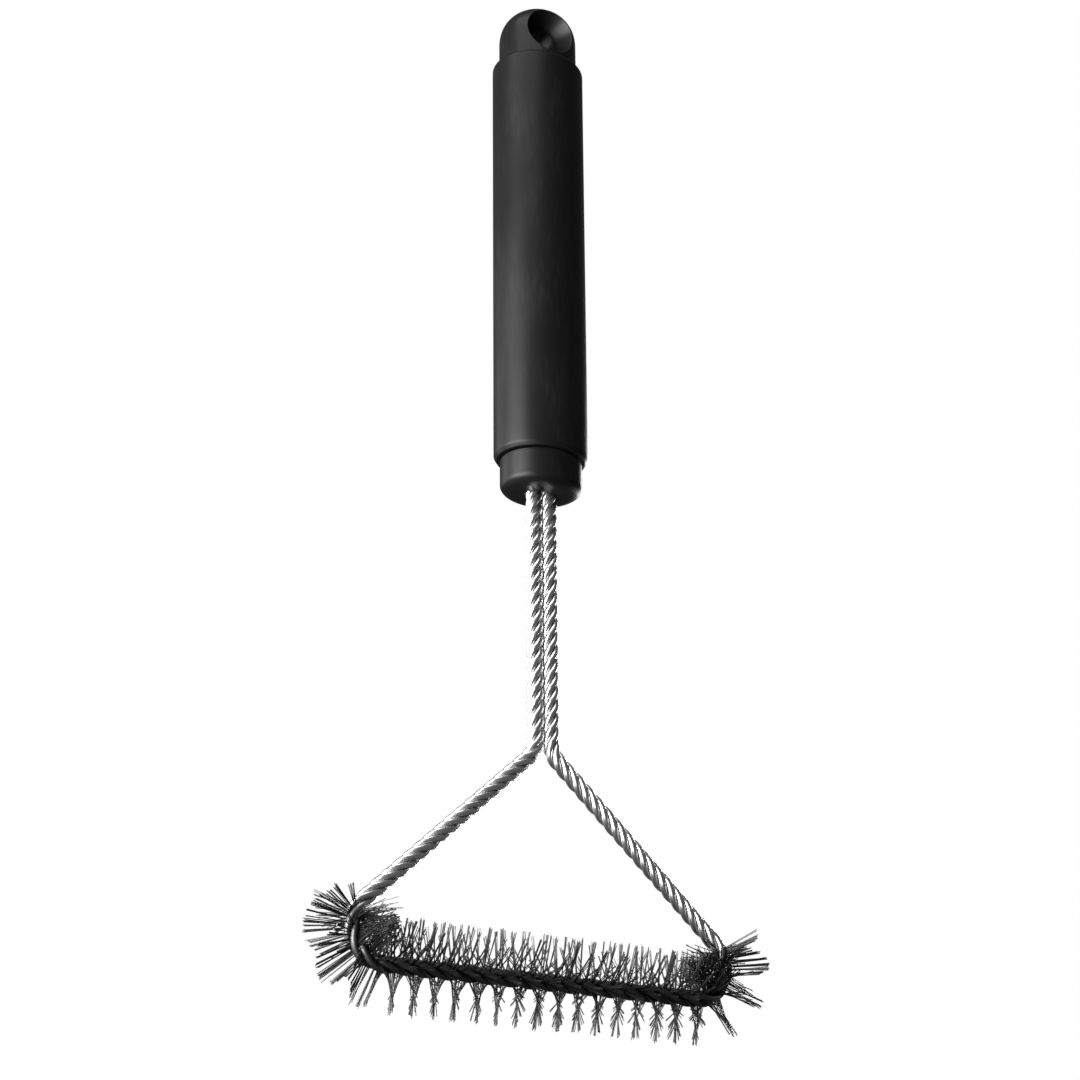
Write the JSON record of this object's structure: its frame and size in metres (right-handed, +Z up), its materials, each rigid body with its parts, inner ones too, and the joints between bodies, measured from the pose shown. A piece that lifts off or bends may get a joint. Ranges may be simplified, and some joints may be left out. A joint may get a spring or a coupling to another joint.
{
  "type": "grill cleaning brush",
  "caption": "Three-sided grill cleaning brush: a black oval handle with a hang hole, a twisted steel wire frame that splits into two arms, and a straight bar of steel bristles.",
  "frame": {"origin": "centre of the hang hole, in the middle of the cap's depth", "axes": "+Z up the handle to its domed end, +Y along the hang hole, X along the bristled bar"},
  "size_m": [0.1436, 0.027, 0.3438],
  "materials": {
    "cap_plastic": "satin moulded black",
    "grip_plastic": "fine textured satin black",
    "core_plastic": "plain moulded",
    "wire_steel": "drawn galvanised wire",
    "bristle_steel": "dark drawn wire",
    "crimp_steel": "pressed"
  },
  "bodies": {
    "root": {"bristle_row_1_bar": "bristle_steel", "bristle_row_1_left_corner": "bristle_steel", "bristle_row_1_right_corner": "bristle_steel", "bristle_row_2_bar": "bristle_steel", "bristle_row_2_left_corner": "bristle_steel", "bristle_row_2_right_corner": "bristle_steel", "bristle_row_3_bar": "bristle_steel", "bristle_row_3_left_corner": "bristle_steel", "bristle_row_3_right_corner": "bristle_steel", "bristle_row_4_bar": "bristle_steel", "bristle_row_4_left_corner": "bristle_steel", "bristle_row_4_right_corner": "bristle_steel", "core_front_half": "core_plastic", "core_rear_half": "core_plastic", "crimp_sleeve": "crimp_steel", "grip_sleeve": "grip_plastic", "hang_cap": "cap_plastic", "neck_collar": "cap_plastic", "wire_1_bar": "wire_steel", "wire_1_left_arm": "wire_steel", "wire_1_left_corner": "wire_steel", "wire_1_left_shank": "wire_steel", "wire_1_right_arm": "wire_steel", "wire_1_right_corner": "wire_steel", "wire_1_right_shank": "wire_steel", "wire_2_bar": "wire_steel", "wire_2_left_arm": "wire_steel", "wire_2_left_corner": "wire_steel", "wire_2_left_shank": "wire_steel", "wire_2_right_arm": "wire_steel", "wire_2_right_corner": "wire_steel", "wire_2_right_shank": "wire_steel", "wire_3_bar": "wire_steel", "wire_3_left_arm": "wire_steel", "wire_3_left_corner": "wire_steel", "wire_3_left_shank": "wire_steel", "wire_3_right_arm": "wire_steel", "wire_3_right_corner": "wire_steel", "wire_3_right_shank": "wire_steel", "wire_4_bar": "wire_steel", "wire_4_left_arm": "wire_steel", "wire_4_left_corner": "wire_steel", "wire_4_left_shank": "wire_steel", "wire_4_right_arm": "wire_steel", "wire_4_right_corner": "wire_steel", "wire_4_right_shank": "wire_steel"}
  },
  "joints": []
}
